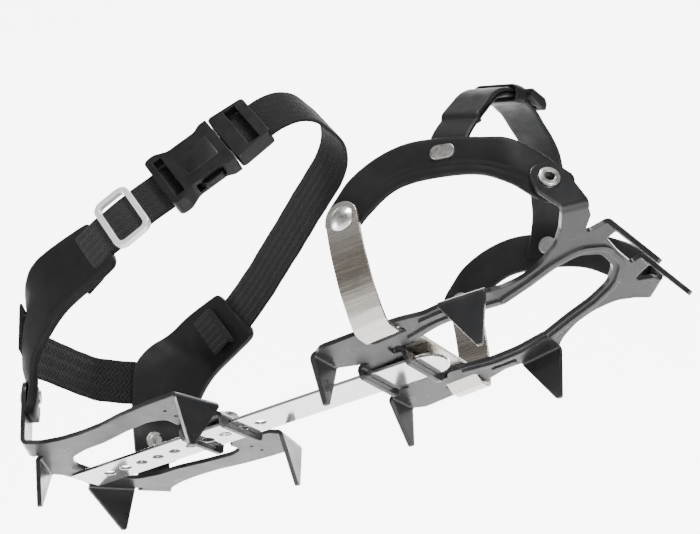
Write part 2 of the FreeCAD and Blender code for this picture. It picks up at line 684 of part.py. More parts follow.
def on_buckle(shape):
    """From buckle coordinates (along the strap, outward, across) to the crampon's."""
    direction = unit(BUCKLE_FRONT - BUCKLE_REAR)
    start = BUCKLE_REAR + direction * buckle_start
    shape.rotate(Vector(0, 0, 0), Vector(0, 0, 1), math.degrees(math.atan2(direction.y, direction.x)))
    shape.translate(Vector(start.x, start.y, ankle_level))
    return on_ankle(shape)


def buckle_socket():
    """Socket half: webbing bar at the rear, a hollow body with a window in each side."""
    half = buckle_half
    side = [(3.5, half, 3), (9.5, half, 4), (15.5, 13.6, 6), (30.5, 13.6, 4), (34.0, half - 1.2, 3),
            (socket_end, half - 1.2, 1)]
    body = plate(side + [(x, -y, r) for x, y, r in reversed(side)], 2, -buckle_low, -buckle_high)
    body.rotate(Vector(0, 0, 0), Vector(1, 0, 0), 90.0)
    cavity = block((14.0, socket_end + 1), (buckle_high + 1.9, buckle_low - 1.6), (-13.2, 13.2))
    windows = block((16.5, 31.0), (buckle_high + 1.9, buckle_low - 1.6), (-half - 2, half + 2))
    bar_slot = block((7.0, 11.4), (-10, 10), (-webbing_width / 2 - 0.7, webbing_width / 2 + 0.7))
    entry = block((0, 7.1), (-1.3, 1.3), (-webbing_width / 2 - 0.7, webbing_width / 2 + 0.7))
    return on_buckle(body.cut([cavity, windows, bar_slot, entry]))


def buckle_plug():
    """Plug half: webbing bar at the front and a flat guide tongue inside the socket."""
    half = buckle_half - 2.0
    body = plate([(plug_start, -half - 0.8), (plug_start, half + 0.8), (plug_end, half - 1.0),
                  (plug_end, -half + 1.0)], 2.2, -buckle_low + 0.4, -buckle_high - 0.4)
    body.rotate(Vector(0, 0, 0), Vector(1, 0, 0), 90.0)
    tongue = block((20.0, plug_start + 0.2), (-2.9, 0.7), (-3.4, 3.4))
    bar_slot = block((46.5, 52.5), (-10, 10), (-webbing_width / 2 - 0.5, webbing_width / 2 + 0.5))
    entry = block((52.4, plug_end + 1), (-1.3, 1.3), (-webbing_width / 2 - 0.5, webbing_width / 2 + 0.5))
    return on_buckle(body.fuse(tongue).cut([bar_slot, entry]))


def latch_arm(side):
    """Springy prong of the plug; side is +1 for the upper one, -1 for the lower one."""
    outline = [(arm_hinge, 7.6, 1), (arm_hinge, 11.2, 1), (30.6, 11.6, 1), (29.6, 16.0, 1.4),
               (21.0, 16.0, 3), (17.8, 11.0, 2), (17.8, 8.4, 1), (22.0, 8.0, 4)]
    arm = plate([(x, side * y, r) for x, y, r in outline], 1, -0.6, 2.8)
    arm.rotate(Vector(0, 0, 0), Vector(1, 0, 0), 90.0)
    return on_buckle(arm)


def adjuster_ring():
    """Metal link of the ankle strap, lying on the webbing."""
    turn = Vector(ANKLE_TURN[0], ANKLE_TURN[1], 0)
    direction = unit(BUCKLE_REAR - turn)
    centre = turn + direction * ((ring_place - turn.y) / direction.y)
    half = ring_length / 2
    across = ring_width / 2
    frame = plate([(-half, -across), (half, -across), (half, across), (-half, across)], 5.2,
                  -ring_wire / 2, ring_wire / 2)
    inner = half - ring_wire
    inner_across = across - ring_wire
    frame = frame.cut(plate([(-inner, -inner_across), (inner, -inner_across), (inner, inner_across),
                             (-inner, inner_across)], 2.8, -ring_wire, ring_wire))
    frame.rotate(Vector(0, 0, 0), Vector(1, 0, 0), 90.0)
    frame.translate(Vector(0, -(webbing_thick / 2 + 0.3 + ring_wire / 2), 0))
    heading = math.degrees(math.atan2(direction.y, direction.x))
    frame.rotate(Vector(0, 0, 0), Vector(0, 0, 1), heading)
    frame.translate(Vector(centre.x, centre.y, ankle_level))
    return on_ankle(frame)


# --- The whole crampon -------------------------------------------------------------------
def parts():
    outer_strap = side_strap()
    outer_heel_strap = heel_strap()
    return {
        "toe_frame": toe_frame(),
        "heel_frame": heel_frame(),
        "extender_bar_front": extender_bar(bar_split + flex_gap / 2, bar_front, True),
        "extender_bar_rear": extender_bar(bar_rear, bar_split - flex_gap / 2, False),
        "bar_stud": bar_stud(),
        "size_pin": size_pin(),
        "toe_bail": toe_bail(),
        "bail_rivets": bail_rivets(),
        "bail_washers": bail_washers(),
        "side_strap_lateral": outer_strap,
        "side_strap_medial": mirrored(outer_strap),
        "toe_post_eyelets": toe_post_eyelets(),
        "oval_rivets": oval_rivets(),
        "toe_webbing_lateral": toe_webbing_lateral(),
        "toe_webbing_medial": toe_webbing_medial(),
        "toe_webbing_tail": toe_webbing_tail(),
        "toe_keeper": toe_keeper(),
        "toe_buckle": toe_buckle(),
        "heel_strap_lateral": outer_heel_strap,
        "heel_strap_medial": mirrored(outer_heel_strap),
        "heel_rivets": heel_rivets(),
        "heel_washers": heel_washers(),
        "heel_rear_webbing": heel_rear_webbing(),
        "ankle_webbing_lateral": ankle_webbing_lateral(),
        "ankle_webbing_instep": ankle_webbing_instep(),
        "adjuster_ring": adjuster_ring(),
        "buckle_socket": buckle_socket(),
        "buckle_plug": buckle_plug(),
        "latch_arm_upper": latch_arm(1),
        "latch_arm_lower": latch_arm(-1),
    }


os.makedirs("parts", exist_ok=True)
whole = FreeCAD.BoundBox()
for name, shape in parts().items():
    whole.add(shape.BoundBox)
    shape.exportStep(os.path.join("parts", name + ".step"))
    print(name, "solids", len(shape.Solids), "valid", shape.isValid(), "volume", round(shape.Volume, 1))
print("overall box", whole)
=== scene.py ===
import math

import bmesh
import bpy
from mathutils import Matrix, Vector


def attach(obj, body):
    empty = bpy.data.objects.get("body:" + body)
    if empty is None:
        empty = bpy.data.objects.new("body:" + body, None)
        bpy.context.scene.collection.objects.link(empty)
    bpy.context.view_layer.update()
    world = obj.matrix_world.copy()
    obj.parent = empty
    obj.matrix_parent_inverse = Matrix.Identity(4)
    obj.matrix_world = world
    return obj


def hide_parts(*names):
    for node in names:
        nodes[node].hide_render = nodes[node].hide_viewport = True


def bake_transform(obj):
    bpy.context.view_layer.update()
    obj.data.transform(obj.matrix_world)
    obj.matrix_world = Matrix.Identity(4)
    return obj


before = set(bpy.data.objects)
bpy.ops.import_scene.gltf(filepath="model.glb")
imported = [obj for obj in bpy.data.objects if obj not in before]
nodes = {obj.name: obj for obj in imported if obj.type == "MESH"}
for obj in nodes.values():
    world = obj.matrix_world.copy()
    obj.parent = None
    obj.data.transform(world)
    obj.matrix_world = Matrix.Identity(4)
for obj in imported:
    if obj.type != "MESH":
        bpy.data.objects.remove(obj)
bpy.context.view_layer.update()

MM = 0.001

# --- Frame of the crampon, millimetres ------------------------------------------------
BRIDGE_Y = 43.5              # rocker line between the plates
PLATE_Z = 21.5               # mid-plane of the heel plate
ROCKER = math.radians(3.14)
ANKLE_TILT = math.radians(30.0)
ANKLE_LEVEL = 132.0
TOE_STRAP_TILT = math.radians(65.0)
TOE_STRAP_LEVEL = -20.5

TO_TOE = Matrix.Translation((0, BRIDGE_Y, PLATE_Z)) @ Matrix.Rotation(ROCKER, 4, "X")
ON_ANKLE = Matrix.Rotation(ANKLE_TILT, 4, "X")
ON_TOE_STRAP = TO_TOE @ Matrix.Rotation(TOE_STRAP_TILT, 4, "X")
MIRROR = Matrix.Scale(-1, 4, (1, 0, 0))
METRES = Matrix.Scale(MM, 4)


# --- Shader helpers ---------------------------------------------------------------------
class Shader:
    """A Principled material with short calls for its nodes."""

    def __init__(self, name, color, roughness, metallic=0.0, specular=0.5):
        self.material = bpy.data.materials.new(name)
        self.material.use_nodes = True
        self.tree = self.material.node_tree
        self.bsdf = self.tree.nodes["Principled BSDF"]
        self.bsdf.inputs["Base Color"].default_value = (*color, 1.0)
        self.bsdf.inputs["Roughness"].default_value = roughness
        self.bsdf.inputs["Metallic"].default_value = metallic
        self.bsdf.inputs["Specular IOR Level"].default_value = specular

    def add(self, kind, **values):
        node = self.tree.nodes.new(kind)
        for key, value in values.items():
            setattr(node, key, value)
        return node

    def link(self, source, target):
        self.tree.links.new(source, target)

    def math(self, operation, first, second=None):
        """A Math node; each value is a number or an output."""
        node = self.add("ShaderNodeMath", operation=operation)
        for socket, value in zip(node.inputs, (first, second)):
            if isinstance(value, (int, float)):
                socket.default_value = value
            elif value is not None:
                self.link(value, socket)
        return node.outputs[0]

    def place(self, scale=(1, 1, 1), source="Object"):
        """Texture coordinates in metres, stretched by scale."""
        coordinates = self.add("ShaderNodeTexCoord")
        mapping = self.add("ShaderNodeMapping")
        mapping.inputs["Scale"].default_value = scale
        self.link(coordinates.outputs[source], mapping.inputs["Vector"])
        return mapping.outputs[0]

    def noise(self, scale, detail=3.0, stretch=(1, 1, 1)):
        """Noise in the object's own coordinates."""
        node = self.add("ShaderNodeTexNoise")
        node.inputs["Scale"].default_value = scale
        node.inputs["Detail"].default_value = detail
        self.link(self.place(stretch), node.inputs["Vector"])
        return node.outputs["Fac"]

    def ramp(self, value, low, high, first, second):
        """A value from low to high, mapped on first to second and held beyond them."""
        node = self.add("ShaderNodeMapRange")
        self.link(value, node.inputs["Value"])
        for key, number in (("From Min", low), ("From Max", high), ("To Min", first), ("To Max", second)):
            node.inputs[key].default_value = number
        return node.outputs["Result"]

    def mix_color(self, factor, first, second):
        """Base colour from the first (factor 0) to the second (factor 1)."""
        node = self.add("ShaderNodeMix", data_type="RGBA")
        self.link(factor, node.inputs["Factor"])
        node.inputs["A"].default_value = (*first, 1.0)
        node.inputs["B"].default_value = (*second, 1.0)
        self.link(node.outputs["Result"], self.bsdf.inputs["Base Color"])

    def roughness(self, value, low, high, first, second):
        """Roughness from a value, mapped as in ramp."""
        self.link(self.ramp(value, low, high, first, second), self.bsdf.inputs["Roughness"])

    def bump(self, height, distance, strength=1.0, edge=0.0):
        """Surface relief of that depth in metres; edge rounds the sharp edges as well."""
        node = self.add("ShaderNodeBump")
        node.inputs["Distance"].default_value = distance
        node.inputs["Strength"].default_value = strength
        self.link(height, node.inputs["Height"])
        if edge:
            self.link(self.rounding(edge), node.inputs["Normal"])
        self.link(node.outputs["Normal"], self.bsdf.inputs["Normal"])

    def rounding(self, radius):
        """Normals that look as if the sharp edges had that radius, in metres."""
        node = self.add("ShaderNodeBevel", samples=6)
        node.inputs["Radius"].default_value = radius
        return node.outputs["Normal"]

    def edges(self, radius):
        """1 on sharp edges, 0 on flat faces."""
        geometry = self.add("ShaderNodeNewGeometry")
        dot = self.add("ShaderNodeVectorMath", operation="DOT_PRODUCT")
        self.link(self.rounding(radius), dot.inputs[0])
        self.link(geometry.outputs["Normal"], dot.inputs[1])
        return self.ramp(dot.outputs["Value"], 0.97, 0.75, 0.0, 1.0)


# --- Materials --------------------------------------------------------------------------
def powder_coat():
    """Charcoal powder coat: fine orange peel, with a painted highlight that lightens the edges a little, in
    patches.
    """
    s = Shader("powder_coat", (0.008, 0.008, 0.009), 0.33)
    # painted highlight: lighter colour on the sharp edges, broken into patches by noise
    edge_highlight = s.math("MULTIPLY", s.edges(0.0005), s.ramp(s.noise(240), 0.4, 0.62, 0.0, 1.0))
    s.mix_color(edge_highlight, (0.008, 0.0082, 0.009), (0.05, 0.051, 0.054))
    s.roughness(s.noise(90, 6), 0.3, 0.7, 0.24, 0.4)
    s.bump(s.noise(1300, 2), 0.00005, 0.6, edge=0.0006)
    return s.material


def mirror_steel():
    """Bright spring steel with faint rolling lines along the bar."""
    s = Shader("mirror_steel", (0.97, 0.965, 0.95), 0.1, metallic=1.0)
    s.roughness(s.noise(30, 5), 0.35, 0.7, 0.05, 0.13)
    s.bump(s.noise(700, 3, (4, 0.05, 1)), 0.00001, 0.5, edge=0.0003)
    return s.material


def brushed_steel():
    """Warm stainless band: brushed across, darker and browner over its middle height."""
    s = Shader("brushed_steel", (0.6, 0.56, 0.5), 0.3, metallic=1.0)
    height = s.add("ShaderNodeSeparateXYZ")
    s.link(s.place(), height.inputs[0])
    blotch = s.math("MULTIPLY", s.noise(70, 6), 0.014)
    level = s.math("ADD", height.outputs["Z"], blotch)
    band_distance = s.math("ABSOLUTE", s.math("SUBTRACT", level, 0.051))
    # colour darker and browner within about 16 mm of 51 mm height, the band's edge broken by noise
    s.mix_color(s.ramp(band_distance, 0.016, 0.002, 0.0, 0.85), (0.74, 0.7, 0.64), (0.33, 0.285, 0.24))
    s.roughness(s.noise(500, 4, (1, 0.08, 3)), 0.3, 0.7, 0.2, 0.36)
    s.bump(s.noise(900, 4, (1, 0.06, 4)), 0.00003, 0.5, edge=0.0004)
    return s.material


def satin_steel():
    """Rivets and eyelets: satin stainless, darkened in random patches by dirt."""
    s = Shader("satin_steel", (0.66, 0.65, 0.63), 0.3, metallic=1.0)
    s.mix_color(s.ramp(s.noise(260, 5), 0.45, 0.75, 0.0, 1.0), (0.72, 0.71, 0.69), (0.42, 0.4, 0.37))
    s.roughness(s.noise(400, 4), 0.3, 0.7, 0.2, 0.42)
    s.bump(s.noise(1600, 2), 0.00003, 0.5, edge=0.0004)
    return s.material


def pale_steel():
    """Adjuster ring: nickel with a soft, nearly white sheen."""
    s = Shader("pale_steel", (0.95, 0.935, 0.91), 0.45, metallic=0.7)
    s.roughness(s.noise(500, 4), 0.3, 0.7, 0.34, 0.5)
    s.bump(s.noise(1500, 2), 0.00002, 0.4, edge=0.0006)
    return s.material


def elastomer():
    """Moulded strap: very matte, finely grained, a little dusty."""
    s = Shader("elastomer", (0.004, 0.004, 0.0045), 0.62, specular=0.2)
    s.mix_color(s.ramp(s.noise(45, 6), 0.5, 0.85, 0.0, 1.0), (0.003, 0.003, 0.0034), (0.0095, 0.009, 0.009))
    s.roughness(s.noise(130, 5), 0.3, 0.7, 0.52, 0.7)
    s.bump(s.noise(3200, 3), 0.00006, 0.6)
    return s.material


def plastic():
    """Buckle plastic: satin with a fine spark-eroded grain."""
    s = Shader("plastic", (0.004, 0.004, 0.0045), 0.42, specular=0.28)
    s.roughness(s.noise(160, 5), 0.3, 0.7, 0.34, 0.5)
    s.bump(s.noise(2600, 3), 0.00005, 0.5, edge=0.0007)
    return s.material


def webbing(name, row, rib):
    """Woven webbing: rows along the strap, slanted ribs that turn at each row, with painted shade in the
    grooves.
    """
    s = Shader(name, (0.01, 0.01, 0.0105), 0.8, specular=0.18)
    split = s.add("ShaderNodeSeparateXYZ")
    s.link(s.place(source="UV"), split.inputs[0])
    slant = s.math("PINGPONG", split.outputs["Y"], row)
    phase = s.math("MULTIPLY", s.math("ADD", split.outputs["X"], slant), 2 * math.pi / rib)
    ribs = s.math("MULTIPLY_ADD", s.math("SINE", phase), 0.5)
    gap = s.math("ABSOLUTE", s.math("SUBTRACT", s.math("DIVIDE", slant, row), 0.5))
    weave = s.math("MULTIPLY", ribs, s.ramp(gap, 0.5, 0.36, 0.35, 1.0))
    height = s.math("ADD", weave, s.math("MULTIPLY", s.noise(5200, 2), 0.3))
    # painted shade: the colour is darker in the weave's grooves and between rows, lighter on the raised
    # ribs
    s.mix_color(s.ramp(height, 0.1, 1.1, 0.0, 1.0), (0.0015, 0.0015, 0.0016), (0.0125, 0.0125, 0.013))
    s.bump(height, 0.00035, 0.9)
    s.bsdf.inputs["Sheen Weight"].default_value = 0.05
    return s.material


def coated_strap():
    """Flat strap with a smooth matte coating over its weave."""
    s = Shader("coated_strap", (0.004, 0.004, 0.0045), 0.55, specular=0.25)
    s.roughness(s.noise(180, 5), 0.3, 0.7, 0.44, 0.62)
    s.bump(s.noise(2400, 4), 0.00008, 0.6)
    return s.material


POWDER = powder_coat()
MIRROR_STEEL = mirror_steel()
BRUSHED = brushed_steel()
SATIN = satin_steel()
PALE = pale_steel()
ELASTOMER = elastomer()
PLASTIC = plastic()
COATED = coated_strap()
WEBBING = webbing("webbing", 0.0021, 0.0012)
REAR_WEBBING = webbing("rear_webbing", 0.003, 0.0024)

CAD_LOOKS = {
    POWDER: ("toe_frame", "heel_frame"),
    BRUSHED: ("toe_bail",),
    SATIN: ("bar_stud", "size_pin", "bail_rivets", "bail_washers", "toe_post_eyelets", "oval_rivets",
            "heel_rivets", "heel_washers"),
    PALE: ("adjuster_ring",),
    PLASTIC: ("buckle_socket", "buckle_plug", "latch_arm_upper", "latch_arm_lower", "toe_buckle"),
}
for look, names in CAD_LOOKS.items():
    for name in names:
        nodes[name].data.materials.clear()
        nodes[name].data.materials.append(look)


# --- Mesh helpers -----------------------------------------------------------------------
SPLIT_ANGLE = 50             # edges sharper than this stay crisp, degrees
WEBBING_ROWS = 10            # shallow rows across a webbing
WAVES = ((0.12, 5.3, 0.0), (0.08, 2.1, 1.0))     # its waves: height, length / 2 pi, phase
CURVE_STEPS = 20             # points between two given points of a smooth curve


def add_object(name, mesh):
    """A new object of the scene that shows the mesh."""
    piece = bpy.data.objects.new(name, mesh)
    bpy.context.collection.objects.link(piece)
    return piece


def smooth_line(points, step=1.0):
    """Points about step apart on straight runs joined by tangent arcs, as (x, y)."""
    corners = [Vector(p[:2]) for p in points]
    line = [corners[0]]
    for i in range(1, len(corners) - 1):
        back = (corners[i - 1] - corners[i]).normalized()
        ahead = (corners[i + 1] - corners[i]).normalized()
        half_turn = back.angle(ahead) / 2
        limit = 0.49 * min((corners[i - 1] - corners[i]).length, (corners[i + 1] - corners[i]).length)
        reach = min(points[i][2] / math.tan(half_turn), limit)
        radius = reach * math.tan(half_turn)
        centre = corners[i] + (back + ahead).normalized() * (radius / math.sin(half_turn))
        first = corners[i] + back * reach - centre
        last = corners[i] + ahead * reach - centre
        sweep = first.angle_signed(last)
        count = max(4, round(abs(sweep) * radius / step))
        for k in range(count + 1):
            turned = first.copy()
            turned.rotate(Matrix.Rotation(-sweep * k / count, 2))
            line.append(centre + turned)
    line.append(corners[-1])
    dense = [line[0]]
    for start, end in zip(line, line[1:]):
        count = max(1, round((end - start).length / step))
        dense += [start.lerp(end, k / count) for k in range(1, count + 1)]
    return dense


def flipped_path(points):
    """The same points on the other side of the foot."""
    return [(-p[0],) + tuple(p[1:]) for p in points]


def make(name, rings, uvs, look, body, replaced, closed_ends=True):
    """A piece from rings of points in metres; each ring is one closed cross-section."""
    mesh = bpy.data.meshes.new(name)
    bm = bmesh.new()
    uv_layer = bm.loops.layers.uv.new("UVMap")
    verts = [[bm.verts.new(p) for p in ring] for ring in rings]
    count = len(rings[0])
    for i in range(len(rings) - 1):
        for j in range(count):
            k = (j + 1) % count
            face = bm.faces.new((verts[i][j], verts[i][k], verts[i + 1][k], verts[i + 1][j]))
            corners = (uvs[i][j], uvs[i][k], uvs[i + 1][k], uvs[i + 1][j])
            for loop, uv in zip(face.loops, corners):
                loop[uv_layer].uv = uv
    if closed_ends:
        bm.faces.new(verts[0][::-1])
        bm.faces.new(verts[-1])
    bmesh.ops.recalc_face_normals(bm, faces=bm.faces)
    for face in bm.faces:
        face.smooth = True
    bm.to_mesh(mesh)
    bm.free()
    mesh.materials.append(look)
    piece = add_object(name, mesh)
    piece.modifiers.new("edge_split", "EDGE_SPLIT").split_angle = math.radians(SPLIT_ANGLE)
    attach(piece, body)
    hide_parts(*replaced)


def normals(line):
    """Left-hand normal at each point of a line."""
    result = []
    for i in range(len(line)):
        along = (line[min(i + 1, len(line) - 1)] - line[max(i - 1, 0)]).normalized()
        result.append(Vector((-along.y, along.x)))
    return result


def webbing_section(width, thick):
    """Cross-section of webbing, (across, outward): rounded selvedges and shallow rows."""
    half = width / 2
    edge = thick / 2
    section = [(-half, 0.0), (-half + 0.12 * thick, 0.6 * edge), (-half + 0.5 * thick, edge)]
    for k in range(WEBBING_ROWS + 1):
        across = -half + thick + (width - 2 * thick) * k / WEBBING_ROWS
        section.append((across, edge if k % 2 else 0.93 * edge))
    section += [(half - 0.5 * thick, edge), (half - 0.12 * thick, 0.6 * edge), (half, 0.0)]
    return section + [(across, -out) for across, out in reversed(section[1:-1])]


def webbing_piece(name, points, width, level, thick, place, material, body, replaced):
    """Flat webbing along a path, with a slight wave so that it does not look rigid."""
    line = smooth_line(points)
    side = normals(line)
    half = width / 2
    section = webbing_section(width, thick)
    rings = []
    uvs = []
    travelled = 0.0
    for i, (point, normal) in enumerate(zip(line, side)):
        if i:
            travelled += (point - line[i - 1]).length
        wave = sum(height * math.sin(travelled / length + phase) for height, length, phase in WAVES)
        ring = []
        for across, out in section:
            offset = point - normal * out
            ring.append(METRES @ place @ Vector((offset.x, offset.y, level + across + wave)))
        rings.append(ring)
        uvs.append([(travelled * MM, (across + half + (0 if out >= 0 else width)) * MM)
                    for across, out in section])
    make(name, rings, uvs, material, body, replaced)


def interpolate(points, count):
    """Evenly spaced points on a smooth curve through the given ones."""
    vectors = [Vector(p) for p in points]
    padded = [2 * vectors[0] - vectors[1]] + vectors + [2 * vectors[-1] - vectors[-2]]
    dense = []
    for i in range(1, len(padded) - 2):
        a, b, c, d = padded[i - 1:i + 3]
        for k in range(CURVE_STEPS):
            t = k / CURVE_STEPS
            dense.append(0.5 * (2 * b + (c - a) * t + (2 * a - 5 * b + 4 * c - d) * t ** 2
                                + (3 * b - a - 3 * c + d) * t ** 3))
    dense.append(vectors[-1])
    lengths = [0.0]
    for p, q in zip(dense, dense[1:]):
        lengths.append(lengths[-1] + (q - p).length)
    result = []
    j = 0
    for k in range(count):
        target = lengths[-1] * k / (count - 1)
        while j < len(lengths) - 2 and lengths[j + 1] < target:
            j += 1
        span = lengths[j + 1] - lengths[j]
        result.append(dense[j].lerp(dense[j + 1], (target - lengths[j]) / span if span else 0.0))
    return result


def smooth_step(value):
    """0 below 0, 1 above 1, and an S-curve between them."""
    t = max(0.0, min(1.0, value))
    return t * t * (3 - 2 * t)


def lean_share(height):
    """Share of a strap's lean at a height: none at its post and at its top."""
    rise = smooth_step((height - LEAN_START) / LEAN_RISE)
    fall = smooth_step((LEAN_END - height) / LEAN_FALL)
    return rise * fall


def moulded_strap(name, lower, upper, plan, section, place, body, replaced, lean, mirror):
    """Moulded strap between a lower and an upper edge, both in the side view (along the foot,
    up), laid on the plan line. The section is (place between the edges, outward offset), and
    the strap leans outward by up to lean."""
    plan_line = smooth_line(plan)
    plan_side = normals(plan_line)

    def on_plan(y):
        for i in range(len(plan_line) - 1):
            if plan_line[i + 1].y >= y or i == len(plan_line) - 2:
                break
        span = plan_line[i + 1].y - plan_line[i].y
        t = max(0.0, min(1.0, (y - plan_line[i].y) / span))
        return plan_line[i].lerp(plan_line[i + 1], t), plan_side[i].lerp(plan_side[i + 1], t)

    rings = []
    uvs = []
    for low, high in zip(interpolate(lower, STATIONS), interpolate(upper, STATIONS)):
        ring = []
        for across, out in section:
            point = low.lerp(high, across)
            base, normal = on_plan(point.x)
            away = out + lean * lean_share(point.y)
            spot = Vector((base.x - normal.x * away, point.x - normal.y * away, point.y))
            spot = METRES @ place @ spot
            ring.append(MIRROR @ spot if mirror else spot)
        rings.append(ring)
        uvs.append([(point.x * MM, point.y * MM) for _ in section])
    make(name, rings, uvs, ELASTOMER, body, replaced)


# --- Moulded straps ---------------------------------------------------------------------
STATIONS = 90                # cross-sections along each moulded strap
HEEL_LEAN = 3.0              # how far the heel straps lean outward at mid-height
LEAN_START = 44.0            # the lean begins just above the heel post
LEAN_RISE = 16.0
LEAN_END = 112.0             # and is gone at the strap's top
LEAN_FALL = 20.0
SIDE_PLAN = [(49.7, -12.0), (49.7, 76.7, 15), (38.0, 90.6)]
SIDE_LOWER = [
    (-7.2, 43.0), (-6.2, 38.0), (-2.0, 35.6), (4.0, 37.4), (12.0, 42.2), (22.0, 46.6), (32.0, 46.9),
    (47.0, 42.9), (60.0, 37.2), (70.0, 28.6), (79.0, 18.2), (84.0, 16.9), (89.0, 20.5)]
SIDE_UPPER = [
    (-7.2, 45.0), (-6.0, 49.5), (-1.0, 54.5), (7.0, 60.6), (20.0, 64.4), (34.0, 64.2), (50.0, 58.8),
    (64.0, 52.0), (74.0, 46.6), (82.0, 38.5), (88.0, 30.6), (90.4, 27.0), (90.2, 22.5)]
SIDE_SECTION = [
    (0.03, -1.5), (0.0, -1.1), (0.0, 0.3), (0.02, 0.75), (0.06, 0.9), (0.17, 0.9), (0.195, 1.25),
    (0.21, 1.3), (0.30, 1.3), (0.325, 1.6), (0.34, 1.65), (0.5, 1.75), (0.88, 1.6), (0.97, 1.25),
    (1.0, 0.7), (1.0, -1.1), (0.97, -1.5)]
HEEL_PLAN = [(32.0, -139.6), (51.05, -126.9, 11), (47.3, -64.0)]
HEEL_LOWER = [
    (-129.0, 35.4), (-124.6, 38.0), (-122.4, 46.0), (-119.4, 56.0), (-112.6, 66.2), (-103.0, 75.4),
    (-88.0, 82.6), (-78.0, 87.3), (-75.6, 90.0), (-76.0, 93.6)]
HEEL_UPPER = [
    (-134.0, 35.6), (-138.2, 38.6), (-138.6, 60.0), (-138.2, 84.0), (-134.8, 96.5), (-127.8, 105.4),
    (-116.0, 111.6), (-98.0, 116.6), (-92.6, 117.0), (-89.8, 114.0)]
HEEL_SECTION = [
    (0.02, -1.5), (0.0, -1.1), (0.0, 1.5), (0.02, 2.4), (0.05, 2.7), (0.10, 2.5), (0.14, 1.0),
    (0.17, 0.9), (0.55, 1.2), (0.88, 1.0), (0.92, 1.5), (0.97, 1.6), (1.0, 1.0), (1.0, -1.1),
    (0.98, -1.5)]
for side, flipped in (("lateral", False), ("medial", True)):
    moulded_strap("side_strap_" + side + "_skin", SIDE_LOWER, SIDE_UPPER, SIDE_PLAN, SIDE_SECTION, TO_TOE,
                  "toe_section", ("side_strap_" + side,), 0.0, flipped)
    moulded_strap("heel_strap_" + side + "_skin", HEEL_LOWER, HEEL_UPPER, HEEL_PLAN, HEEL_SECTION,
                  Matrix.Identity(4), "heel_section", ("heel_strap_" + side,), HEEL_LEAN, flipped)


# --- Webbing ----------------------------------------------------------------------------
TOE_RUN = [(47.1, 61.5), (47.1, 78.0, 22), (31.0, 103.5, 26)]
TOE_WIDTH = 17.0
STRAP_THICK = 1.7            # of the toe and ankle webbing


def toe_strap_piece(name, points, replaced):
    """Coated webbing along a path in the toe strap's plane."""
    webbing_piece(name, points, TOE_WIDTH, TOE_STRAP_LEVEL, STRAP_THICK, ON_TOE_STRAP, COATED,
                  "toe_section", (replaced,))


toe_strap_piece("toe_anchor_strap", TOE_RUN + [(9.0, 111.0)], "toe_webbing_lateral")
toe_strap_piece("toe_long_strap", flipped_path(TOE_RUN) + [(0.0, 110.6, 40), (9.6, 110.2)],
                "toe_webbing_medial")
toe_strap_piece("toe_folded_tail", [(9.4, 112.8), (31.8, 105.6, 27), (43.2, 87.4, 3.0), (42.0, 84.6, 1.5),
                                    (40.6, 86.4)], "toe_webbing_tail")

ANKLE_THREAD = [(45.9, -41.0), (45.9, -30.0, 1.3), (51.8, -30.0, 1.3), (51.3, -18.0, 15)]
BUCKLE_REAR = (46.5, 4.0, 30)
BUCKLE_FRONT = (28.5, 66.0)
BUCKLE_START = 8.0           # the buckle's own zero, along that run
INSTEP = (23.1, 84.5, 26)
ANKLE_WIDTH = 25.0


def ankle_piece(name, points, replaced):
    """Woven webbing along a path on the ankle slope."""
    webbing_piece(name, points, ANKLE_WIDTH, ANKLE_LEVEL, STRAP_THICK, ON_ANKLE, WEBBING,
                  "heel_section", (replaced,))


def along_buckle(distance):
    """Point of the ankle line at that distance ahead of the buckle's rear edge."""
    start = Vector(BUCKLE_REAR[:2])
    return tuple(start + (Vector(BUCKLE_FRONT) - start).normalized() * (BUCKLE_START + distance))


ankle_piece("ankle_strap_outer", ANKLE_THREAD + [BUCKLE_REAR, along_buckle(13.2)],
            "ankle_webbing_lateral")
INNER = [INSTEP, BUCKLE_REAR[:2] + (60,)] + ANKLE_THREAD[::-1]
ankle_piece("ankle_strap_instep", [along_buckle(45.0), INSTEP] + flipped_path(INNER),
            "ankle_webbing_instep")

REAR_RUN = [(48.2, -135.6), (22.0, -152.9, 18)]
REAR_WIDTH = 24.0
REAR_LEVEL = 80.0            # height of its middle
REAR_THICK = 1.6
webbing_piece("heel_strap_webbing", REAR_RUN + flipped_path(REAR_RUN)[::-1], REAR_WIDTH, REAR_LEVEL,
              REAR_THICK, Matrix.Identity(4), REAR_WEBBING, "heel_section", ("heel_rear_webbing",))


# --- Extender bar: one spring from plate to plate --------------------------------------
BAR_HALF = 9.5
BAR_THICK = 1.5
BAR_EDGE = 0.15              # rounding of its edges
BAR_REAR = -184.0
BAR_FRONT = 10.0
BAR_Z = PLATE_Z - 3.1
HOLE_COUNT = 10
HOLE_PITCH = 9.6
FIRST_HOLE = -168.7
HOLE_RADIUS = 2.9
HOLE_STEPS = 32              # straight edges round each hole


def closed_spline(curve, points):
    """Adds a closed outline to the curve, from points in millimetres."""
    spline = curve.splines.new("POLY")
    spline.points.add(len(points) - 1)
    for target, point in zip(spline.points, points):
        target.co = (point[0] * MM, point[1] * MM, 0, 1)
    spline.use_cyclic_u = True


